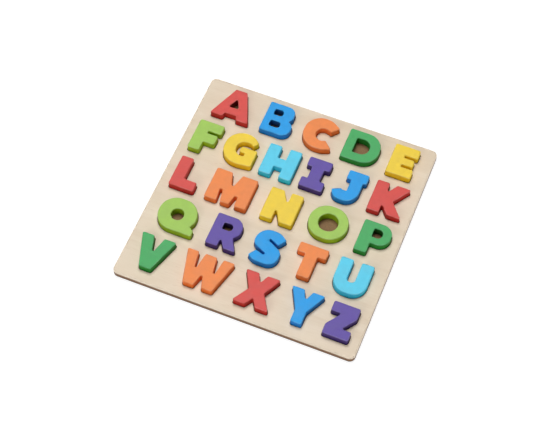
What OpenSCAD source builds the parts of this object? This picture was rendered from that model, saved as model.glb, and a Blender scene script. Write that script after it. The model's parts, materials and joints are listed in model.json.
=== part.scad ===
// Alphabet puzzle: a wooden tray with 26 letter-shaped recesses and 26 painted letters that lift out.
// Millimetres, +Z up, origin at the middle of the tray's underside.

/* [Tray] */
// Width of the tray
tray_w = 300; // [285:1:360]
// Length of the tray
tray_l = 300; // [285:1:360]
// Corner radius of the tray seen from above
tray_r = 7; // [4:0.5:20]
// Thickness of the pale sheet with the cut-outs, which is the recess depth
sheet_t = 3; // [2:0.1:5]
// Thickness of the brown backing sheet
backing_t = 5; // [3:0.5:10]
// Round-over along the top rim of the tray
rim_r = 1.5; // [0.5:0.1:1.8]

/* [Letter block] */
// Thickness of every letter
letter_t = 12; // [8:0.5:20]
// Height of the flat-topped letters
cap_h = 43.6; // [41:0.1:46]
// How far round letters reach past the flat ones
over = 1; // [0.4:0.1:2]
// Width of an upright stroke
stem = 15.6; // [14.6:0.1:16.4]
// Thickness of a level stroke
arm = 13.4; // [12:0.1:14]
// Narrow slot between the arms of E and F
slot = 3.2; // [2.6:0.1:4.2]
// How much shorter the middle arm of E and F is
arm_step = 2.4; // [0:0.1:5]
// Corner radius of the letters
corner_r = 2.2; // [1.6:0.1:2.4]
// Corner radius at the slender tips, such as the feet of A and K
tip_r = 1.7; // [1.5:0.1:2.2]
// Radius in the inner corners
inner_r = 1.3; // [0.9:0.1:1.8]
// Radius of the softened edge round the upper face
edge = 1.4; // [0.4:0.1:1.6]
// Gap between a letter and the wall of its recess
fit_gap = 0.8; // [0.4:0.1:1]

/* [Letter widths] */
// Width of A
a_w = 50.6; // [48:0.1:54]
// Width of B
b_w = 38; // [36:0.1:41]
// Width of C
c_w = 43.2; // [41:0.1:46]
// Width of D
d_w = 44; // [42:0.1:47]
// Width of E
e_w = 31.8; // [28:0.1:35]
// Width of F
f_w = 32.4; // [28:0.1:35]
// Width of G
g_w = 42; // [40.5:0.1:44]
// Width of H
h_w = 41.8; // [39:0.1:45]
// Width of I
i_w = 29.8; // [27:0.1:33]
// Width of J
j_w = 37; // [36:0.1:40]
// Width of K
k_w = 43.6; // [41.5:0.1:46.5]
// Width of L
l_w = 32.2; // [28:0.1:35]
// Width of M
m_w = 53.6; // [52:0.1:57]
// Width of N
n_w = 41.1; // [40:0.1:45]
// Width of O
o_w = 48.3; // [46:0.1:51]
// Width of P
p_w = 37.2; // [36:0.1:40]
// Width of Q
q_w = 49.8; // [48.5:0.1:52]
// Width of R
r_w = 38.4; // [37:0.1:41]
// Width of S
s_w = 36; // [35:0.1:38]
// Width of T
t_w = 36.2; // [32:0.1:40]
// Width of U
u_w = 41; // [39:0.1:45]
// Width of V
v_w = 43.6; // [40:0.1:47]
// Width of W
w_w = 59.6; // [57:0.1:62]
// Width of X
x_w = 45; // [42:0.1:48]
// Width of Y
y_w = 41.4; // [38:0.1:45]
// Width of Z
z_w = 32.2; // [30:0.1:36]

/* [Letter spacing] */
// Tray left over on the two sides of the longest row, each
margin_x = 12; // [8:0.05:30]
// Tray left over above the first row and below the last, each
margin_y = 13.6; // [8:0.05:30]
// Gaps along the first row, A to E
gaps_1 = [14.5, 14, 11, 14.6]; // [6:0.1:20]
// Gaps along the second row, F to K
gaps_2 = [8.8, 10, 10.2, 9.9, 10.5]; // [6:0.1:14]
// Gaps along the third row, L to P
gaps_3 = [14.2, 17.8, 14.6, 14.7]; // [6:0.1:20]
// Gaps along the fourth row, Q to U
gaps_4 = [18.2, 14.6, 15.3, 15.1]; // [6:0.1:20]
// Gaps along the last row, V to Z
gaps_5 = [14.5, 13.3, 12.9, 10.8]; // [6:0.1:20]
// Gap between two rows
row_gap = 13.7; // [6:0.1:15]
// Sideways place of the rows on the tray
field_x = 1.3; // [-4:0.1:4]
// How far each row is set over from that place
row_slips = [-1.1, 0.4, -0.3, -0.2, -0.6]; // [-3:0.1:3]
// Place of the middle row along the tray
field_y = 1.6; // [-4:0.1:4]

/* [Hidden] */
$fn = 96;

// How far a drawn arc may stray from the true one
arc_tol = 0.04;
// Overrun of a cutter past the face it cuts
past = 1;
// Outline points are whole numbers of this step, so that they are written out without loss
fine = 0.0001;

RED = [0.86, 0.34, 0.33];
BLUE = [0.2, 0.6, 0.92];
ORANGE = [0.95, 0.56, 0.32];
GREEN = [0.33, 0.7, 0.44];
YELLOW = [0.94, 0.82, 0.3];
LIME = [0.65, 0.82, 0.39];
CYAN = [0.37, 0.82, 0.94];
PURPLE = [0.42, 0.35, 0.66];

// Heights shared by several letters
low_arm = arm;
high_arm = cap_h - arm;
top = cap_h + over;
bottom = -over;
bar_low = 13.3;
bar_high = bar_low + arm;

// Radius of the big round corners of C, G and Q
round_r = cap_h / 2 - 0.3;
// The softened edge never passes the sharpest corner it runs round, nor the rim the sheet it is cut on
soft = min(edge, 0.85 * min(corner_r, tip_r));
rim = min(rim_r, 0.8 * sheet_t);
// The softened edge is two slopes along a quarter round, measured in tenths of its radius.
// The slopes meet this many tenths in from the wall and down from the face.
knee = 3;
tenth = soft / 10;

// Every outline runs anticlockwise from the left end of the base line.
// A point is [x, y, corner radius].

// A: slanted legs, a notch between the feet
a_foot = 16.2;
a_apex = 15;
a_notch_h = 5.8;
a_lean = 1.8;
a_side = (a_w - a_apex) / 2;
a_outline = [
    [0, 0, tip_r],
    [a_foot, 0, corner_r],
    [a_foot + a_lean, a_notch_h, inner_r],
    [a_w - a_foot - a_lean, a_notch_h, inner_r],
    [a_w - a_foot, 0, corner_r],
    [a_w, 0, tip_r],
    [a_w - a_side, cap_h, corner_r],
    [a_side, cap_h, corner_r]
];
a_counter = [
    [a_w / 2 - 6.2, 16.5, inner_r],
    [a_w / 2 + 6.2, 16.5, inner_r],
    [a_w / 2, cap_h - 13.2, inner_r]
];

// B: two bowls, the lower one wider
b_waist = cap_h / 2 + 1.2;
b_outline = [
    [0, 0, corner_r],
    [b_w, 0, 11.5],
    [b_w, b_waist - 4.5, 8],
    [b_w - 7, b_waist, inner_r],
    [b_w - 3.2, b_waist + 3.6, 5],
    [b_w - 3.2, cap_h, 10],
    [0, cap_h, corner_r]
];
b_low_counter = window(9.6, 9.2, b_w - 15, b_waist - 5.4, 2, 3.6);
b_high_counter = window(9.3, b_waist + 3.6, b_w - 17.4, cap_h - 8.6, 2, 3.6);

// C: a round stroke cut off at two slanted ends
c_outline = [
    [0, bottom, round_r],
    [c_w - 13.2, bottom, 20],
    [c_w - 1.2, 3.8, tip_r],
    [c_w - 12.2, 13.9, tip_r],
    [c_w - 16.7, 12.1, 5],
    [16.4, 12.1, 8.6],
    [16.4, cap_h - 13.8, 8.6],
    [c_w - 15.7, cap_h - 13.8, 6],
    [c_w - 9.8, cap_h - 16.3, tip_r],
    [c_w - 1.2, cap_h - 6.8, tip_r],
    [c_w - 14.2, top, 22],
    [0, top, round_r]
];

// D: one deep bowl
d_outline = [
    [0, 0, corner_r],
    [d_w, 0, 20],
    [d_w, cap_h, 20],
    [0, cap_h, corner_r]
];
d_counter = window(12, 11.5, d_w - 13.2, cap_h - 10.8, 1.6, 9.6);

// E: three arms and two slots
e_outline = [
    [0, 0, corner_r],
    [e_w, 0, corner_r],
    [e_w, low_arm, corner_r],
    [stem, low_arm, inner_r],
    [stem, low_arm + slot, inner_r],
    [e_w - arm_step, low_arm + slot, corner_r],
    [e_w - arm_step, high_arm - slot, corner_r],
    [stem, high_arm - slot, inner_r],
    [stem, high_arm, inner_r],
    [e_w, high_arm, corner_r],
    [e_w, cap_h, corner_r],
    [0, cap_h, corner_r]
];

// F: two arms and one slot
f_outline = [
    [0, 0, corner_r],
    [stem, 0, corner_r],
    [stem, high_arm - slot - arm, inner_r],
    [f_w - arm_step, high_arm - slot - arm, corner_r],
    [f_w - arm_step, high_arm - slot, corner_r],
    [stem, high_arm - slot, inner_r],
    [stem, high_arm, inner_r],
    [f_w, high_arm, corner_r],
    [f_w, cap_h, corner_r],
    [0, cap_h, corner_r]
];

// G: a round stroke whose bar fills the lower right and leaves a hooked channel
g_bar = cap_h - 18.6;
g_outline = [
    [0, bottom, round_r],
    [g_w - 16, bottom, 24],
    [g_w, 1, corner_r],
    [g_w, g_bar, corner_r],
    [20.8, g_bar, tip_r],
    [20.8, 16.4, tip_r],
    [28.4, 16.4, 1.9],
    [28.4, 12.2, 1.9],
    [15.4, 12.2, 9],
    [15.4, cap_h - 11.4, 9.6],
    [g_w - 12, cap_h - 11.4, 6],
    [g_w - 7.2, cap_h - 14.4, tip_r],
    [g_w - 2.4, cap_h - 7.4, tip_r],
    [g_w - 12, top, 20],
    [0, top, round_r]
];

// H: two stems and a bar
h_outline = [
    [0, 0, corner_r],
    [stem, 0, corner_r],
    [stem, bar_low, inner_r],
    [h_w - stem, bar_low, inner_r],
    [h_w - stem, 0, corner_r],
    [h_w, 0, corner_r],
    [h_w, cap_h, corner_r],
    [h_w - stem, cap_h, corner_r],
    [h_w - stem, bar_high, inner_r],
    [stem, bar_high, inner_r],
    [stem, cap_h, corner_r],
    [0, cap_h, corner_r]
];

// I: a stem with a bar at each end
i_side = (i_w - stem) / 2;
i_outline = [
    [0, 0, corner_r],
    [i_w, 0, corner_r],
    [i_w, low_arm, corner_r],
    [i_w - i_side, low_arm, inner_r],
    [i_w - i_side, high_arm, inner_r],
    [i_w, high_arm, corner_r],
    [i_w, cap_h, corner_r],
    [0, cap_h, corner_r],
    [0, high_arm, corner_r],
    [i_side, high_arm, inner_r],
    [i_side, low_arm, inner_r],
    [0, low_arm, corner_r]
];

// J: a hook under a bar
j_right = j_w - 3.9;
j_left = j_right - stem;
j_bar = j_w - 25.6;
j_outline = [
    [3.4, bottom, 12],
    [j_right, bottom, 17],
    [j_right, high_arm, inner_r],
    [j_w, high_arm, corner_r],
    [j_w, cap_h, corner_r],
    [j_bar, cap_h, corner_r],
    [j_bar, high_arm, corner_r],
    [j_left, high_arm, inner_r],
    [j_left, 13.7, inner_r],
    [12.6, 13.7, 3],
    [10.4, 15, tip_r],
    [0, 10.3, tip_r]
];

// K: a stem and two slanted limbs
k_outline = [
    [0, 0, corner_r],
    [stem, 0, corner_r],
    [stem, 12.4, inner_r],
    [k_w - 18, 0, corner_r],
    [k_w, 0, tip_r],
    [k_w - 16.8, cap_h / 2 - 1.8, inner_r],
    [k_w - 0.8, cap_h, tip_r],
    [k_w - 19, cap_h, corner_r],
    [stem, cap_h - 14.3, inner_r],
    [stem, cap_h, corner_r],
    [0, cap_h, corner_r]
];

// L: a stem and a foot
l_outline = [
    [0, 0, corner_r],
    [l_w, 0, corner_r],
    [l_w, low_arm, corner_r],
    [stem, low_arm, inner_r],
    [stem, cap_h, corner_r],
    [0, cap_h, corner_r]
];

// M: a notch from above and two narrow ones from below
m_outline = [
    [0, 0, corner_r],
    [16.2, 0, corner_r],
    [14.5, 16.8, inner_r],
    [17.9, 16.8, inner_r],
    [20.9, 0, corner_r],
    [m_w - 21.4, 0, corner_r],
    [m_w - 18.4, 13.2, inner_r],
    [m_w - 15, 13.2, inner_r],
    [m_w - 14.6, 0, corner_r],
    [m_w, 0, corner_r],
    [m_w, cap_h, corner_r],
    [m_w - 20.4, cap_h, corner_r],
    [m_w / 2 + 1.3, cap_h - 17.2, inner_r],
    [m_w / 2 - 1.3, cap_h - 17.2, inner_r],
    [20, cap_h, corner_r],
    [0, cap_h, corner_r]
];

// N: two stems and a slanted stroke
n_notch = 17.2;
n_slip = 0.4;
n_outline = [
    [0, 0, corner_r],
    [stem, 0, corner_r],
    [stem, n_notch, inner_r],
    [n_w - stem - n_slip, 0, corner_r],
    [n_w, 0, corner_r],
    [n_w, cap_h, corner_r],
    [n_w - stem, cap_h, corner_r],
    [n_w - stem, cap_h - n_notch, inner_r],
    [stem + n_slip, cap_h, corner_r],
    [0, cap_h, corner_r]
];

// O: a ring a little wider than tall
o_r = cap_h / 2 + over - 0.4;
o_outline = window(0, bottom, o_w, top, o_r, o_r);
o_counter = window(12.2, 10, o_w - 12.2, cap_h - 10, 11.5, 11.5);

// P: a stem and one bowl
p_bowl = 14.4;
p_outline = [
    [0, 0, corner_r],
    [stem, 0, corner_r],
    [stem, p_bowl, inner_r],
    [p_w, p_bowl, 13.6],
    [p_w, cap_h, 13.6],
    [0, cap_h, corner_r]
];
p_counter = window(14.8, p_bowl + 9, p_w - 10.8, cap_h - 8.6, 1.6, 5.2);

// Q: a ring with a flat foot that runs out into the tail
q_ring = q_w - 2.4;
q_outline = [
    [0, 0, round_r],
    [q_w, 0, corner_r],
    [q_w, 8, tip_r],
    [q_w - 5.6, 11.7, inner_r],
    [q_ring, 18.6, 14],
    [q_ring, top, round_r],
    [0, top, round_r]
];
q_counter = window(q_ring / 2 - 7.7, 14.6, q_ring / 2 + 7.7, cap_h - 13.8, 7.3, 7.3);

// R: a stem, a bowl and a slanted leg
r_bowl = r_w - 3.1;
r_outline = [
    [0, 0, corner_r],
    [stem, 0, corner_r],
    [stem, 12.8, inner_r],
    [r_w - 15.2, 0, corner_r],
    [r_w, 0, tip_r],
    [r_w - 9, 16.4, inner_r],
    [r_bowl, cap_h - 19.4, 8],
    [r_bowl, cap_h, 13],
    [0, cap_h, corner_r]
];
r_counter = window(12, cap_h - 19.4, r_w - 14.6, cap_h - 10.4, 1.6, 4.2);

// S: two bowls with a narrow slot in each
s_right = s_w - 0.4;
s_outline = [
    [0, 4.2, tip_r],
    [8.4, bottom, 18],
    [s_right, bottom, 13.5],
    [s_right, cap_h / 2 - 1.1, 9],
    [16, cap_h - 13.2, inner_r],
    [17.4, cap_h - 10.8, inner_r],
    [s_w - 7.2, cap_h - 16, tip_r],
    [s_w, cap_h - 6.4, tip_r],
    [s_w - 9.5, top, 18],
    [0, top, 16.5],
    [0, cap_h / 2 - 1.2, 9],
    [18.3, 12.8, inner_r],
    [17.3, 10.2, inner_r],
    [6.6, 13.6, tip_r]
];

// T: a stem under a bar
t_side = (t_w - stem) / 2;
t_outline = [
    [t_side, 0, corner_r],
    [t_w - t_side, 0, corner_r],
    [t_w - t_side, high_arm, inner_r],
    [t_w, high_arm, corner_r],
    [t_w, cap_h, corner_r],
    [0, cap_h, corner_r],
    [0, high_arm, corner_r],
    [t_side, high_arm, inner_r]
];

// U: two stems and a round foot
u_slot_r = u_w / 2 - stem - 0.4;
u_outline = [
    [0, bottom, 18],
    [u_w, bottom, 18],
    [u_w, cap_h, corner_r],
    [u_w - stem, cap_h, corner_r],
    [u_w - stem, 14.6, u_slot_r],
    [stem, 14.6, u_slot_r],
    [stem, cap_h, corner_r],
    [0, cap_h, corner_r]
];

// V: two slanted limbs
v_outline = [
    [v_w / 2 - 7.4, 0, corner_r],
    [v_w / 2 + 7.4, 0, corner_r],
    [v_w, cap_h, tip_r],
    [v_w / 2 + 6.6, cap_h, corner_r],
    [v_w / 2, cap_h - 23.1, inner_r],
    [v_w / 2 - 6.6, cap_h, corner_r],
    [0, cap_h, tip_r]
];

// W: four limbs
w_outline = [
    [11.6, 0, corner_r],
    [24.6, 0, corner_r],
    [w_w / 2, 18, inner_r],
    [w_w - 24.6, 0, corner_r],
    [w_w - 11.6, 0, corner_r],
    [w_w, cap_h, tip_r],
    [w_w - 14.2, cap_h, corner_r],
    [w_w - 18.3, cap_h - 28.1, inner_r],
    [w_w - 22.5, cap_h, corner_r],
    [22.5, cap_h, corner_r],
    [18.3, cap_h - 28.1, inner_r],
    [14.2, cap_h, corner_r],
    [0, cap_h, tip_r]
];

// X: two crossed limbs
x_outline = [
    [0, 0, tip_r],
    [15.9, 0, corner_r],
    [x_w / 2, 10.6, inner_r],
    [x_w - 15.9, 0, corner_r],
    [x_w, 0, tip_r],
    [x_w - 12.8, cap_h / 2 - 1, inner_r],
    [x_w - 0.7, cap_h, tip_r],
    [x_w - 17.1, cap_h, corner_r],
    [x_w / 2, cap_h - 11.8, inner_r],
    [17.1, cap_h, corner_r],
    [0.7, cap_h, tip_r],
    [12.8, cap_h / 2 - 1, inner_r]
];

// Y: two limbs on a stem
y_stem = 13.7;
y_side = (y_w - y_stem) / 2;
y_outline = [
    [y_side, 0, corner_r],
    [y_w - y_side, 0, corner_r],
    [y_w - y_side, 16.6, 4],
    [y_w, cap_h, tip_r],
    [y_w / 2 + 5.2, cap_h, corner_r],
    [y_w / 2, cap_h - 12.6, inner_r],
    [y_w / 2 - 5.2, cap_h, corner_r],
    [0, cap_h, tip_r],
    [y_side, 16.6, 4]
];

// Z: two bars and a slanted stroke
z_low = 12.4;
z_outline = [
    [0, 0, corner_r],
    [z_w - 0.5, 0, corner_r],
    [z_w - 0.5, z_low, corner_r],
    [z_w - 12.4, z_low, inner_r],
    [z_w, cap_h - 14.2, 5],
    [z_w, cap_h, corner_r],
    [0, cap_h, corner_r],
    [0, high_arm, corner_r],
    [12.8, high_arm, inner_r],
    [0, z_low, 4]
];

// The alphabet in order: [width, outline, openings]
LETTERS = [
    [a_w, a_outline, [a_counter]],
    [b_w, b_outline, [b_low_counter, b_high_counter]],
    [c_w, c_outline, []],
    [d_w, d_outline, [d_counter]],
    [e_w, e_outline, []],
    [f_w, f_outline, []],
    [g_w, g_outline, []],
    [h_w, h_outline, []],
    [i_w, i_outline, []],
    [j_w, j_outline, []],
    [k_w, k_outline, []],
    [l_w, l_outline, []],
    [m_w, m_outline, []],
    [n_w, n_outline, []],
    [o_w, o_outline, [o_counter]],
    [p_w, p_outline, [p_counter]],
    [q_w, q_outline, [q_counter]],
    [r_w, r_outline, [r_counter]],
    [s_w, s_outline, []],
    [t_w, t_outline, []],
    [u_w, u_outline, []],
    [v_w, v_outline, []],
    [w_w, w_outline, []],
    [x_w, x_outline, []],
    [y_w, y_outline, []],
    [z_w, z_outline, []]
];

// The rows: where each starts in the alphabet, and the gaps along it
ROW_START = [0, 5, 11, 16, 21];
GAPS = [gaps_1, gaps_2, gaps_3, gaps_4, gaps_5];
rows = len(GAPS);

// What the letters, gaps and margins add up to across the tray and along it.
// On a tray of another size the gaps and margins stretch alike, so that the letters still fill it.
laid_w = max([for (r = [0 : rows - 1]) row_length(r)]) + 2 * margin_x;
laid_l = rows * cap_h + (rows - 1) * row_gap + 2 * margin_y;
stretch_y = (tray_l - rows * cap_h) / (laid_l - rows * cap_h);

// A window of two left and two right corner radii, for bowls and rings
function window(x0, y0, x1, y1, left_r, right_r) = [
    [x0, y0, left_r],
    [x1, y0, right_r],
    [x1, y1, right_r],
    [x0, y1, left_r]
];

function total(list, count) = count < 1 ? 0 : list[count - 1] + total(list, count - 1);

// Place of a letter in its row
function row_of(i) = max([for (r = [0 : len(ROW_START) - 1]) if (ROW_START[r] <= i) r]);
function row_widths(r) = [for (k = [0 : len(GAPS[r])]) LETTERS[ROW_START[r] + k][0]];
function letters_w(r) = total(row_widths(r), len(GAPS[r]) + 1);
function row_length(r) = letters_w(r) + total(GAPS[r], len(GAPS[r]));
function stretch_x(r) = (tray_w - letters_w(r)) / (laid_w - letters_w(r));
function letter_x(r, k) =
    let(side = (laid_w - row_length(r)) / 2 + field_x + row_slips[r])
    total(row_widths(r), k) + stretch_x(r) * (side + total(GAPS[r], k)) - tray_w / 2;
function letter_y(r) = tray_l / 2 - (r + 1) * cap_h - stretch_y * (margin_y - field_y + r * row_gap);
function letter_place(i) =
    let(r = row_of(i))
    [letter_x(r, i - ROW_START[r]), letter_y(r), backing_t];

function unit(v) = v / norm(v);
function flat(p) = [p[0], p[1]];
function arc_steps(r, sweep) = max(2, ceil(sweep / (2 * acos(1 - arc_tol / r))));

// Half the angle inside corner i, and how far along its edges a rounding of the asked radius reaches
function side_to(pts, i, k) = flat(pts[(i + k + len(pts)) % len(pts)]) - flat(pts[i]);
function half_angle(pts, i) = acos(unit(side_to(pts, i, -1)) * unit(side_to(pts, i, 1))) / 2;
function reach(pts, i) = pts[i][2] / tan(half_angle(pts, i));

// The asked radius, or less where two roundings would run into each other along an edge
function fitted_r(pts, i) =
    let(
        n = len(pts),
        own = reach(pts, i),
        before = norm(side_to(pts, i, -1)) / (own + reach(pts, (i + n - 1) % n)),
        after = norm(side_to(pts, i, 1)) / (own + reach(pts, (i + 1) % n))
    )
    pts[i][2] * min(1, 0.99 * before, 0.99 * after);

// Points of the arc that rounds corner i
function corner_arc(pts, i) =
    let(
        r = fitted_r(pts, i),
        back = unit(side_to(pts, i, -1)),
        ahead = unit(side_to(pts, i, 1)),
        half = half_angle(pts, i),
        sweep = 180 - 2 * half,
        turn = hollow(pts, i) ? -sweep : sweep,
        centre = flat(pts[i]) + unit(back + ahead) * r / sin(half),
        first = flat(pts[i]) + back * r / tan(half) - centre,
        start = atan2(first[1], first[0]),
        steps = arc_steps(r, sweep)
    )
    [for (k = [0 : steps]) centre + r * [cos(start + turn * k / steps), sin(start + turn * k / steps)]];

// An outline with all its corners rounded
function exact(p) = [round(p[0] / fine) * fine, round(p[1] / fine) * fine];
function rounded(pts) = [for (i = [0 : len(pts) - 1]) for (p = corner_arc(pts, i)) exact(p)];

// How far each corner of an outline moves when every edge moves outwards by d
function moves(pts, d) =
    let(n = len(pts))
    [for (i = [0 : n - 1])
        let(
            back = unit(pts[i] - pts[(i + n - 1) % n]),
            ahead = unit(pts[(i + 1) % n] - pts[i]),
            side = [back[1] + ahead[1], -back[0] - ahead[0]]
        )
        d * side / (1 + back * ahead)];

// The outline of the recess for a letter: its edges and its roundings moved outwards by the gap
function recess(pts) =
    let(plain = [for (p = pts) flat(p)], wide = plain + moves(plain, fit_gap))
    rounded([for (i = [0 : len(pts) - 1])
        let(r = pts[i][2])
        [wide[i][0], wide[i][1], hollow(pts, i) ? max(r - fit_gap, r / 4) : r + fit_gap]]);

// Whether corner i turns inwards
function hollow(pts, i) = cross(-side_to(pts, i, -1), side_to(pts, i, 1)) < 0;

function reversed(list) = [for (i = [len(list) - 1 : -1 : 0]) list[i]];
function raised(pts, z) = [for (p = pts) [p[0], p[1], z]];

// A closed ring, four-sided in section, that planes the upper edge off a letter along one outline.
// It overruns the edge by a tenth on both sides. All its corners lie whole numbers of one move from
// the outline, so that the slopes meet the walls exactly at their corners.
module edge_cutter(line) {
    n = len(line);
    move = [for (m = moves(line, tenth)) exact(m)];
    clear = line + move;
    bend = line - knee * move;
    deep = line - 11 * move;
    steep = (10 - knee) / knee;
    low = letter_t - soft - tenth * steep;
    middle = letter_t - tenth * knee;
    high = letter_t + tenth / steep;
    polyhedron(
        points = concat(raised(clear, low), raised(clear, high), raised(deep, high), raised(bend, middle)),
        faces = [for (k = [0 : 3], i = [0 : n - 1])
            let(j = (i + 1) % n, here = k * n, next = (k + 1) % 4 * n)
            [here + i, next + i, next + j, here + j]]
    );
}

// One letter: upright walls, a softened edge above, openings right through
module letter(i) {
    outer = rounded(LETTERS[i][1]);
    openings = [for (c = LETTERS[i][2]) rounded(c)];
    translate(letter_place(i))
        difference() {
            linear_extrude(letter_t) face_of(outer, openings);
            edge_cutter(outer);
            for (c = openings)
                edge_cutter(reversed(c));
        }
}

module face_of(outer, openings) {
    difference() {
        polygon(outer);
        for (c = openings)
            polygon(c);
    }
}

// The tray seen from above
module tray_plan() {
    square([tray_w - 2 * tray_r, tray_l], center = true);
    square([tray_w, tray_l - 2 * tray_r], center = true);
    for (x = [-1, 1], y = [-1, 1])
        translate([x * (tray_w / 2 - tray_r), y * (tray_l / 2 - tray_r)])
            circle(tray_r);
}

// The sheet's edge in section, from the corner's axis outwards, with its upper edge rounded over
module rim_section() {
    square([tray_r - rim, sheet_t]);
    square([tray_r, sheet_t - rim]);
    translate([tray_r - rim, sheet_t - rim])
        circle(rim);
}

// The pale sheet before its recesses are cut
module plain_sheet() {
    inner_w = tray_w - 2 * tray_r;
    inner_l = tray_l - 2 * tray_r;
    translate([-inner_w / 2, -inner_l / 2, 0])
        cube([inner_w, inner_l, sheet_t]);
    for (side = [0, 1]) {
        rotate(180 * side)
            translate([inner_w / 2, inner_l / 2, 0])
                rotate([90, 0, 0])
                    linear_extrude(inner_l) rim_section();
        rotate(180 * side)
            translate([-inner_w / 2, inner_l / 2, 0])
                rotate([90, 0, 90])
                    linear_extrude(inner_w) rim_section();
    }
    for (x = [-1, 1], y = [-1, 1])
        translate([x * inner_w / 2, y * inner_l / 2, 0])
            rotate_extrude() rim_section();
}

module backing() {
    color([0.5, 0.38, 0.28])
        linear_extrude(backing_t) tray_plan();
}

module top_sheet() {
    color([0.88, 0.8, 0.7])
        difference() {
            translate([0, 0, backing_t])
                plain_sheet();
            for (i = [0 : len(LETTERS) - 1])
                translate(letter_place(i) - [0, 0, past])
                    linear_extrude(sheet_t + 2 * past)
                        polygon(recess(LETTERS[i][1]));
        }
}

module letter_a() { color(RED) letter(0); }
module letter_b() { color(BLUE) letter(1); }
module letter_c() { color(ORANGE) letter(2); }
module letter_d() { color(GREEN) letter(3); }
module letter_e() { color(YELLOW) letter(4); }
module letter_f() { color(LIME) letter(5); }
module letter_g() { color(YELLOW) letter(6); }
module letter_h() { color(CYAN) letter(7); }
module letter_i() { color(PURPLE) letter(8); }
module letter_j() { color(BLUE) letter(9); }
module letter_k() { color(RED) letter(10); }
module letter_l() { color(RED) letter(11); }
module letter_m() { color(ORANGE) letter(12); }
module letter_n() { color(YELLOW) letter(13); }
module letter_o() { color(LIME) letter(14); }
module letter_p() { color(GREEN) letter(15); }
module letter_q() { color(LIME) letter(16); }
module letter_r() { color(PURPLE) letter(17); }
module letter_s() { color(BLUE) letter(18); }
module letter_t() { color(ORANGE) letter(19); }
module letter_u() { color(CYAN) letter(20); }
module letter_v() { color(GREEN) letter(21); }
module letter_w() { color(ORANGE) letter(22); }
module letter_x() { color(RED) letter(23); }
module letter_y() { color(BLUE) letter(24); }
module letter_z() { color(PURPLE) letter(25); }

backing();
top_sheet();
letter_a();
letter_b();
letter_c();
letter_d();
letter_e();
letter_f();
letter_g();
letter_h();
letter_i();
letter_j();
letter_k();
letter_l();
letter_m();
letter_n();
letter_o();
letter_p();
letter_q();
letter_r();
letter_s();
letter_t();
letter_u();
letter_v();
letter_w();
letter_x();
letter_y();
letter_z();
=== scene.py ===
import json
import math

import bmesh
import bpy
from mathutils import Matrix, Vector


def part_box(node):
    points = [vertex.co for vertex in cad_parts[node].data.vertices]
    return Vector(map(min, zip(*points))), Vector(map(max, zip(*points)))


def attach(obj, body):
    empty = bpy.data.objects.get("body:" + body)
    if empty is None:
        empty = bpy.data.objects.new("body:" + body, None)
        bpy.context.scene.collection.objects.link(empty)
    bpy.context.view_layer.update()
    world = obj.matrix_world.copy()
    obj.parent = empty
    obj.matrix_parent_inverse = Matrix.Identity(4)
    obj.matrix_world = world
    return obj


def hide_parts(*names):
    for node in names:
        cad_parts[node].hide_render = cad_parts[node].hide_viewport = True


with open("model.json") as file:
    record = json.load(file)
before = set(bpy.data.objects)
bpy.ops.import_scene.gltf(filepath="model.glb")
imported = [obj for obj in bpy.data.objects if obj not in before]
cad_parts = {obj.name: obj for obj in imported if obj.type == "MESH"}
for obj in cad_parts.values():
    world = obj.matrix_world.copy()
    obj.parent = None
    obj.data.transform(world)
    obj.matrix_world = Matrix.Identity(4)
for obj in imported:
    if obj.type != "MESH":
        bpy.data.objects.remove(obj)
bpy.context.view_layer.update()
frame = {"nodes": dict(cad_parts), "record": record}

MM = 0.001

# All tones are 0 to 255. Paints: on the upper face, whitened by painted sheen, and on the sides,
# a deeper, more saturated tone that paints their shade
PAINTS = {
    "red": ((211, 80, 74), (196, 36, 29)),
    "blue": ((37, 154, 226), (3, 127, 219)),
    "orange": ((234, 136, 76), (249, 120, 45)),
    "green": ((73, 167, 97), (26, 138, 42)),
    "yellow": ((235, 203, 65), (252, 212, 16)),
    "lime": ((158, 196, 90), (155, 194, 22)),
    "cyan": ((92, 203, 232), (48, 209, 247)),
    "purple": ((98, 80, 160), (67, 45, 119)),
}
PAINT_GLOSS = 0.2

# Top sheet: tones of the veneer by its figure, and of what lies over it
VENEER = ((0.25, (222, 206, 184)), (0.5, (218, 201, 177)), (0.72, (211, 192, 166)))
VENEER_PATCH = (206, 187, 160)
VENEER_FIBRE = (192, 165, 134)
VENEER_FLECK = (176, 144, 110)
# Paler rounded rim: partly sanded wood, partly painted highlight
SANDED_AND_LIT_RIM = (238, 223, 202)
# Plies on a cut edge, from the sheet's foot at 0 to its top at 1
PLIES = (
    (0.0, (122, 93, 69)),
    (0.3, (142, 111, 84)),
    (0.36, (172, 141, 111)),
    (0.62, (168, 137, 107)),
    (0.68, (152, 121, 93)),
    (0.86, (196, 169, 140)),
    (1.0, (214, 194, 168)),
)
# Darker recess walls: partly laser browning, partly painted shade in the gaps round the letters
BURNT_AND_SHADED_CUT = (74, 50, 34)
SHEET_FOOT = 5 * MM
SHEET_TOP = 8 * MM
# Walls nearer than this to the tray's middle, along x and y, are recess walls
RECESS_FIELD = 144 * MM

# Backing: tones of its faces and cut edges by their specks, and of what lies over them
BOARD_FACE = ((0.3, (112, 82, 50)), (0.52, (135, 100, 63)), (0.74, (157, 120, 78)))
BOARD_STRAND = (100, 72, 43)
BOARD_CLOUD = (122, 89, 54)
BOARD_EDGE = ((0.3, (104, 69, 38)), (0.55, (132, 91, 52)), (0.75, (156, 111, 66)))
# Painted shade along the foot of the cut edges, where they meet the floor
BOARD_FOOT_SHADE = (64, 43, 30)

# Rounding of a letter's upper and lower edges
TOP_INSET = 1.45 * MM
TOP_DROP = 1.7 * MM
TOP_STEPS = 6
LOW_INSET = 0.5 * MM
LOW_STEPS = 3
SHARP_ANGLE = math.radians(50)
EVEN_WEIGHT = 90

# Painted shade on the walls of an opening: darkest where the opening is small, none where it is
# wide
SMALL_OPENING = 135 * MM * MM
WIDE_OPENING = 200 * MM * MM

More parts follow.
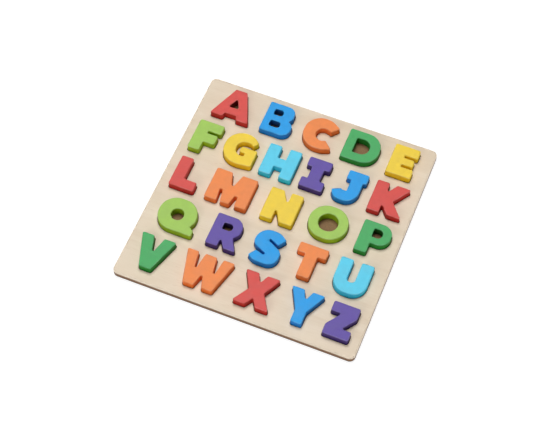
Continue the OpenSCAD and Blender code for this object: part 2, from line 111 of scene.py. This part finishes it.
# The floor gives off most of its white itself, so that it takes only faint shadows
FLOOR_TONE = (150, 150, 150)
FLOOR_GLOW = 0.8
FLOOR_REACH = 14.0
FLOOR_DROP = 0.2 * MM

# A round backdrop, far behind, for views from low down
BACKDROP_REACH = 12.0
BACKDROP_HEIGHT = 8.0
BACKDROP_SIDES = 64

# The camera that took the photograph, solved from the tray's corners
CAMERA_PLACE = Vector((0.2904, -0.7565, 1.3826))
CAMERA_AHEAD = Vector((-0.18251, 0.46699, -0.86522))
CAMERA_RIGHT = Vector((0.9274, 0.3741, 0.0063))
CAMERA_LENS = 87.53
CAMERA_SIGHT = 40
SENSOR_WIDTH = 36

# Square lights aimed at the middle of the tray: name, place, size and power
LIGHTS = (
    ("key", (-0.4, 0.8, 2.95), 1.7, 82),
    ("fill", (-0.6, -2.2, 1.4), 1.2, 19),
    ("side", (2.3, -0.5, 0.35), 0.5, 6),
)
WORLD_STRENGTH = 0.12


def linear(colour):
    """An 8-bit colour as a linear one with alpha."""
    def one(v):
        v = v / 255
        return v / 12.92 if v <= 0.04045 else ((v + 0.055) / 1.055) ** 2.4

    return (*(one(v) for v in colour), 1)


def shade(colour, share):
    """An 8-bit colour made darker, or lighter when share is over 1."""
    return tuple(min(255, v * share) for v in colour)


class Nodes:
    """A material's node tree, with short calls to add to it."""

    def __init__(self, name):
        self.material = bpy.data.materials.new(name)
        self.material.use_nodes = True
        self.tree = self.material.node_tree
        self.shader = self.tree.nodes["Principled BSDF"]

    def add(self, kind, inputs=(), **settings):
        node = self.tree.nodes.new(kind)
        for key, value in settings.items():
            setattr(node, key, value)
        for key, value in dict(inputs).items():
            self.put(node.inputs[key], value)
        return node

    def put(self, socket, value):
        """Links a socket to another, or sets its constant."""
        if isinstance(value, bpy.types.NodeSocket):
            self.tree.links.new(value, socket)
        else:
            socket.default_value = value

    def axes(self, kind):
        """The x, y and z of the object's own place or normal."""
        vector = self.add("ShaderNodeTexCoord").outputs[kind]
        return self.add("ShaderNodeSeparateXYZ", {"Vector": vector}).outputs

    def coords(self, scale=(1, 1, 1), turn=0.0):
        place = self.add("ShaderNodeTexCoord").outputs["Object"]
        return self.add(
            "ShaderNodeMapping",
            {"Vector": place, "Scale": scale, "Rotation": (0, 0, turn)},
        ).outputs["Vector"]

    def noise(self, vector, scale=1.0, detail=4.0, roughness=0.55, distortion=0.0):
        return self.add(
            "ShaderNodeTexNoise",
            {
                "Vector": vector,
                "Scale": scale,
                "Detail": detail,
                "Roughness": roughness,
                "Distortion": distortion,
            },
        ).outputs["Fac"]

    def attribute(self, name):
        return self.add("ShaderNodeAttribute", attribute_name=name).outputs["Fac"]

    def ranged(self, value, low, high, to_low=0.0, to_high=1.0):
        return self.add(
            "ShaderNodeMapRange",
            {
                "Value": value,
                "From Min": low,
                "From Max": high,
                "To Min": to_low,
                "To Max": to_high,
            },
        ).outputs["Result"]

    def math(self, operation, a, b=0.0):
        node = self.add("ShaderNodeMath", operation=operation)
        self.put(node.inputs[0], a)
        self.put(node.inputs[1], b)
        return node.outputs[0]

    def blend(self, a, share, b):
        """Share of a, and the rest of b, of two single values."""
        rest = self.math("MULTIPLY", b, 1 - share)
        return self.math("ADD", self.math("MULTIPLY", a, share), rest)

    def mix(self, share, a, b):
        """Colour a where share is 0, colour b where it is 1."""
        node = self.add("ShaderNodeMix", data_type="RGBA")
        self.put(node.inputs[0], share)
        self.put(node.inputs[6], a)
        self.put(node.inputs[7], b)
        return node.outputs[2]

    def ramp(self, value, stops):
        node = self.add("ShaderNodeValToRGB", {"Fac": value})
        marks = node.color_ramp.elements
        while len(marks) < len(stops):
            marks.new(1.0)
        for mark, (place, colour) in zip(marks, stops):
            mark.position = place
            mark.color = linear(colour)
        return node.outputs["Color"]

    def bump(self, height, strength, distance):
        inputs = {"Height": height, "Strength": strength, "Distance": distance}
        return self.add("ShaderNodeBump", inputs).outputs["Normal"]

    def set(self, **values):
        """Sets the shader's sockets, named in small letters, and gives the material."""
        for key, value in values.items():
            socket = key.replace("_", " ").title().replace("Ior", "IOR")
            self.put(self.shader.inputs[socket], value)
        return self.material


def paint(name, colour, side_shade_tone):
    """Satin paint on wood: the grain shows faintly through; the upper face is whitened by painted
    sheen and the sides take a deeper tone as painted shade, darkest in the small openings; the
    upper edges are paler, partly scuffed paint and partly painted highlight."""
    n = Nodes("paint_" + name)
    grain = n.noise(n.coords((55, 1300, 500)), detail=5, roughness=0.6, distortion=0.4)
    mottle = n.noise(n.coords(), scale=95, detail=3)
    peel = n.noise(n.coords(), scale=1500, detail=2)
    side = n.ranged(n.math("ABSOLUTE", n.axes("Normal")["Z"]), 0.1, 0.6, 1, 0)
    pool = n.ranged(mottle, 0.3, 0.7)
    # Painted sheen and shade: the upper face whitened by sheen, the sides in a deeper shaded tone
    top = n.mix(pool, linear(shade(colour, 0.975)), linear(shade(colour, 1.02)))
    wall = n.mix(pool, linear(shade(side_shade_tone, 0.95)), linear(shade(side_shade_tone, 1.02)))
    # Painted shade on the walls of small openings
    inner = n.math("MULTIPLY", n.attribute("inner"), 0.6)
    wall = n.mix(inner, wall, linear(shade(side_shade_tone, 0.3)))
    body = n.mix(side, top, wall)
    grained = n.mix(n.ranged(grain, 0.52, 0.8, 0, 0.16), body, linear(shade(colour, 0.82)))
    # Paler upper edges: partly scuffed paint, partly painted highlight
    scuff_and_highlight = n.math("MULTIPLY", n.attribute("scuff_highlight"), n.ranged(mottle, 0.4, 0.72, 0.05, 0.42))
    pale = tuple(v + (255 - v) * 0.45 for v in colour)
    return n.set(
        base_color=n.mix(scuff_and_highlight, grained, linear(pale)),
        roughness=n.ranged(mottle, 0.3, 0.7, 0.42, 0.56),
        specular_ior_level=PAINT_GLOSS,
        normal=n.bump(n.blend(grain, 0.7, peel), 0.22, 0.25 * MM),
    )


def plywood():
    """Pale face veneer with a fine grain, paler on the rounded rim, partly as sanded wood and
    partly as painted highlight. The plies show on the cut edges, which are sanded round the tray
    and darker in the recesses, partly from laser browning and partly as painted shade in the gaps
    round the letters."""
    n = Nodes("face_ply")
    figure = n.noise(n.coords((3.2, 34, 34)), detail=4, roughness=0.5, distortion=1.1)
    fibre = n.noise(n.coords((38, 1500, 400)), detail=5, roughness=0.65)
    fleck = n.noise(n.coords((90, 900, 300)), detail=2, roughness=0.4)
    patch = n.noise(n.coords((22, 46, 46), turn=0.3), detail=4, roughness=0.6, distortion=0.6)
    upright = n.axes("Normal")["Z"]
    face = n.ramp(figure, VENEER)
    face = n.mix(n.ranged(patch, 0.42, 0.7, 0, 0.3), face, linear(VENEER_PATCH))
    face = n.mix(n.ranged(fibre, 0.5, 0.8, 0, 0.26), face, linear(VENEER_FIBRE))
    face = n.mix(n.ranged(fleck, 0.68, 0.78, 0, 0.32), face, linear(VENEER_FLECK))
    # Paler rounded rim: partly sanded wood, partly painted highlight
    face = n.mix(n.ranged(upright, 0.8, 0.98, 0.8, 0), face, linear(SANDED_AND_LIT_RIM))
    spot = n.axes("Object")
    wobble = n.ranged(n.noise(n.coords((160, 160, 30)), detail=3), 0, 1, -0.06, 0.06)
    cut = n.ramp(n.math("ADD", n.ranged(spot["Z"], SHEET_FOOT, SHEET_TOP), wobble), PLIES)
    across = n.math("MAXIMUM", n.math("ABSOLUTE", spot["X"]), n.math("ABSOLUTE", spot["Y"]))
    # Darker recess walls: partly laser browning, partly painted shade in the gaps round the
    # letters
    burnt_and_shaded = n.ranged(across, RECESS_FIELD, RECESS_FIELD + 1 * MM, 0.75, 0)
    cut = n.mix(burnt_and_shaded, cut, linear(BURNT_AND_SHADED_CUT))
    side = n.ranged(n.math("ABSOLUTE", upright), 0.02, 0.2, 1, 0)
    return n.set(
        base_color=n.mix(side, face, cut),
        roughness=n.ranged(fibre, 0.3, 0.75, 0.44, 0.6),
        normal=n.bump(n.blend(fibre, 0.75, figure), 0.3, 0.2 * MM),
    )


def fibreboard():
    """Brown pressed board: short fibres on its faces, and cut edges with painted shade that
    darkens them towards the foot.
    """
    n = Nodes("fibreboard")
    speck = n.noise(n.coords(), scale=900, detail=5, roughness=0.7)
    strand = n.noise(n.coords((700, 160, 300), turn=0.5), detail=4, roughness=0.6, distortion=1.5)
    cloud = n.noise(n.coords(), scale=22, detail=3)
    face = n.ramp(speck, BOARD_FACE)
    face = n.mix(n.ranged(strand, 0.55, 0.75, 0, 0.35), face, linear(BOARD_STRAND))
    face = n.mix(n.ranged(cloud, 0.35, 0.7, 0, 0.18), face, linear(BOARD_CLOUD))
    # Painted shade: the cut edges darken towards the foot
    foot = n.ranged(n.axes("Object")["Z"], 0.3 * MM, 2.6 * MM, 0.7, 0)
    edge = n.mix(foot, n.ramp(speck, BOARD_EDGE), linear(BOARD_FOOT_SHADE))
    side = n.ranged(n.math("ABSOLUTE", n.axes("Normal")["Z"]), 0.35, 0.85, 1, 0)
    return n.set(
        base_color=n.mix(side, face, edge),
        roughness=n.ranged(speck, 0.3, 0.7, 0.62, 0.8),
        normal=n.bump(n.blend(speck, 0.5, strand), 0.45, 0.3 * MM),
    )


def area(loop):
    """The area inside a loop, negative when it runs clockwise."""
    return sum(loop[k - 1].cross(loop[k]) for k in range(len(loop))) / 2


def outlines(mesh):
    """The outline of a letter and of its openings, read from the lower face of its CAD mesh.
    The outline comes first and runs anticlockwise, and the openings run clockwise."""
    low = min(v.co.z for v in mesh.vertices)
    spot = {}
    points = []

    def index(co):
        key = (round(co.x * 1e7), round(co.y * 1e7))
        if key not in spot:
            spot[key] = len(points)
            points.append(Vector((co.x, co.y)))
        return spot[key]

    ways = set()
    for face in mesh.polygons:
        corners = [mesh.vertices[v].co for v in face.vertices]
        if max(c.z for c in corners) < low + 1e-6:
            ring = [index(c) for c in corners]
            ways |= {(ring[k - 1], ring[k]) for k in range(len(ring))}
    after = {a: b for a, b in ways if (b, a) not in ways}
    loops = []
    while after:
        first, here = after.popitem()
        loop = [first]
        while here != first:
            loop.append(here)
            here = after.pop(here)
        loops.append([points[k] for k in loop])

    loops.sort(key=lambda loop: -abs(area(loop)))
    return [loop if (area(loop) > 0) == (k == 0) else loop[::-1] for k, loop in enumerate(loops)]


def inset(loop, distance):
    """The loop with each side moved inwards, towards the wood."""
    moved = []
    for k, point in enumerate(loop):
        back = (point - loop[k - 1]).normalized()
        ahead = (loop[(k + 1) % len(loop)] - point).normalized()
        side = Vector((-back.y - ahead.y, back.x + ahead.x))
        moved.append(point + side * (distance / (1 + back.dot(ahead))))
    return moved


def opening_shade_share(loop):
    """How much painted shade darkens the walls of a loop: 1 in a small opening, 0 in a wide one
    and outside.
    """
    opening = -area(loop)
    if opening < 0:
        return 0.0
    return min(max((WIDE_OPENING - opening) / (WIDE_OPENING - SMALL_OPENING), 0.0), 1.0)


def quarter_turn(steps):
    """Angles from 0 to a right angle."""
    return [math.pi / 2 * k / steps for k in range(steps + 1)]


def edge_levels(low, high):
    """The rings of a letter's wall from foot to top: how far in, how high, and how much paler,
    partly as scuffed paint and partly as painted highlight.
    """
    foot = [
        (LOW_INSET * (1 - math.sin(turn)), low + LOW_INSET * (1 - math.cos(turn)), 0.0)
        for turn in quarter_turn(LOW_STEPS)
    ]
    # Paleness of the upper edge, scuffed paint and painted highlight, peaks halfway round
    top = [
        (
            TOP_INSET * (1 - math.cos(turn)),
            high - TOP_DROP * (1 - math.sin(turn)),
            math.sin(2 * turn),
        )
        for turn in quarter_turn(TOP_STEPS)
    ]
    return foot + top


def add_object(name, data):
    """A new object in the scene."""
    thing = bpy.data.objects.new(name, data)
    bpy.context.scene.collection.objects.link(thing)
    return thing


def letter_piece(node, name):
    """A letter with rounded edges on the outline of its CAD node."""
    low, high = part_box(node)
    levels = edge_levels(low.z, high.z)
    bm = bmesh.new()
    scuff_highlight = bm.verts.layers.float.new("scuff_highlight")
    inner = bm.verts.layers.float.new("inner")
    rims = ([], [])
    for loop in outlines(frame["nodes"][node].data):
        # Painted shade for the walls of small openings
        dark = opening_shade_share(loop)
        rings = []
        for distance, z, edge_scuff_highlight in levels:
            ring = [bm.verts.new((p.x, p.y, z)) for p in inset(loop, distance)]
            # Each ring carries its paler edge: scuffed paint and painted highlight
            for vert in ring:
                vert[scuff_highlight] = edge_scuff_highlight
                vert[inner] = dark
            rings.append(ring)
        for lower, upper in zip(rings, rings[1:]):
            for k in range(len(lower)):
                bm.faces.new((lower[k - 1], lower[k], upper[k], upper[k - 1]))
        for rim, ring in zip(rims, (rings[0], rings[-1])):
            rim += [bm.edges.get((ring[k - 1], ring[k])) for k in range(len(ring))]
    for rim in rims:
        bmesh.ops.triangle_fill(bm, edges=rim, use_beauty=True, use_dissolve=False)
    bmesh.ops.recalc_face_normals(bm, faces=bm.faces)
    for face in bm.faces:
        face.smooth = True
    mesh = bpy.data.meshes.new(name)
    bm.to_mesh(mesh)
    bm.free()
    mesh.set_sharp_from_angle(angle=SHARP_ANGLE)
    piece = add_object(name, mesh)
    even = piece.modifiers.new("even shading", "WEIGHTED_NORMAL")
    even.keep_sharp = True
    even.weight = EVEN_WEIGHT
    return piece


def area_light(name, place, size, power):
    """A square light aimed at the middle of the tray."""
    light = bpy.data.lights.new(name, "AREA")
    light.shape = "SQUARE"
    light.size = size
    light.energy = power
    lamp = add_object(name, light)
    lamp.location = place
    lamp.rotation_mode = "QUATERNION"
    lamp.rotation_quaternion = (-Vector(place)).to_track_quat("-Z", "Y")


# Camera
camera_data = bpy.data.cameras.new("camera")
camera_data.sensor_width = SENSOR_WIDTH
camera_data.lens = CAMERA_LENS
camera_data.clip_end = CAMERA_SIGHT
camera = add_object("camera", camera_data)
back = -CAMERA_AHEAD.normalized()
right = (CAMERA_RIGHT - back * CAMERA_RIGHT.dot(back)).normalized()
up = back.cross(right)
turned = Matrix((right, up, back)).transposed().to_4x4()
camera.matrix_world = Matrix.Translation(CAMERA_PLACE) @ turned
bpy.context.scene.camera = camera

# Tray
for node, material in (("top_sheet", plywood()), ("backing", fibreboard())):
    tray_part = frame["nodes"][node]
    tray_part.data.materials.clear()
    tray_part.data.materials.append(material)

# Letters
paints = {name: paint(name, *tones) for name, tones in PAINTS.items()}
slot_of = {part["node"]: part["material_slot"] for part in frame["record"]["subparts"]}
for node in sorted(frame["nodes"]):
    if not node.startswith("letter_"):
        continue
    initial = node[-1]
    block = letter_piece(node, "block_" + initial)
    block.data.materials.append(paints[slot_of[node].removeprefix("paint_")])
    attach(block, "piece_" + initial)
    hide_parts(node)

# Floor
floor_paint = Nodes("floor")
floor_tone = floor_paint.noise(floor_paint.coords(), scale=3, detail=2)
floor_paint.set(
    base_color=floor_paint.mix(
        floor_tone, linear(FLOOR_TONE), linear(shade(FLOOR_TONE, 0.995))
    ),
    roughness=0.9,
    emission_color=(1, 1, 1, 1),
    emission_strength=FLOOR_GLOW,
)
floor_mesh = bpy.data.meshes.new("floor")
floor_mesh.from_pydata(
    [(x * FLOOR_REACH, y * FLOOR_REACH, 0) for x, y in ((-1, -1), (1, -1), (1, 1), (-1, 1))],
    [],
    [(0, 1, 2, 3)],
)
floor_mesh.materials.append(floor_paint.material)
floor = add_object("floor", floor_mesh)
floor.location.z = -FLOOR_DROP

# Backdrop, of the floor's material. Only the camera sees it, so it throws no light on the part
turns = [2 * math.pi * k / BACKDROP_SIDES for k in range(BACKDROP_SIDES)]
backdrop_mesh = bpy.data.meshes.new("backdrop")
backdrop_mesh.from_pydata(
    [
        (BACKDROP_REACH * math.cos(turn), BACKDROP_REACH * math.sin(turn), height)
        for height in (-FLOOR_DROP, BACKDROP_HEIGHT)
        for turn in turns
    ],
    [],
    [
        (k, after, after + BACKDROP_SIDES, k + BACKDROP_SIDES)
        for k in range(BACKDROP_SIDES)
        for after in [(k + 1) % BACKDROP_SIDES]
    ],
)
backdrop_mesh.materials.append(floor_paint.material)
backdrop = add_object("backdrop", backdrop_mesh)
backdrop.visible_diffuse = False
backdrop.visible_glossy = False
backdrop.visible_transmission = False
backdrop.visible_shadow = False

# Light
world = bpy.data.worlds.new("studio")
world.use_nodes = True
sky = world.node_tree.nodes["Background"].inputs
sky["Color"].default_value = (1, 1, 1, 1)
sky["Strength"].default_value = WORLD_STRENGTH
bpy.context.scene.world = world
for light in LIGHTS:
    area_light(*light)
bpy.context.scene.view_settings.view_transform = "Standard"
bpy.context.scene.view_settings.look = "None"
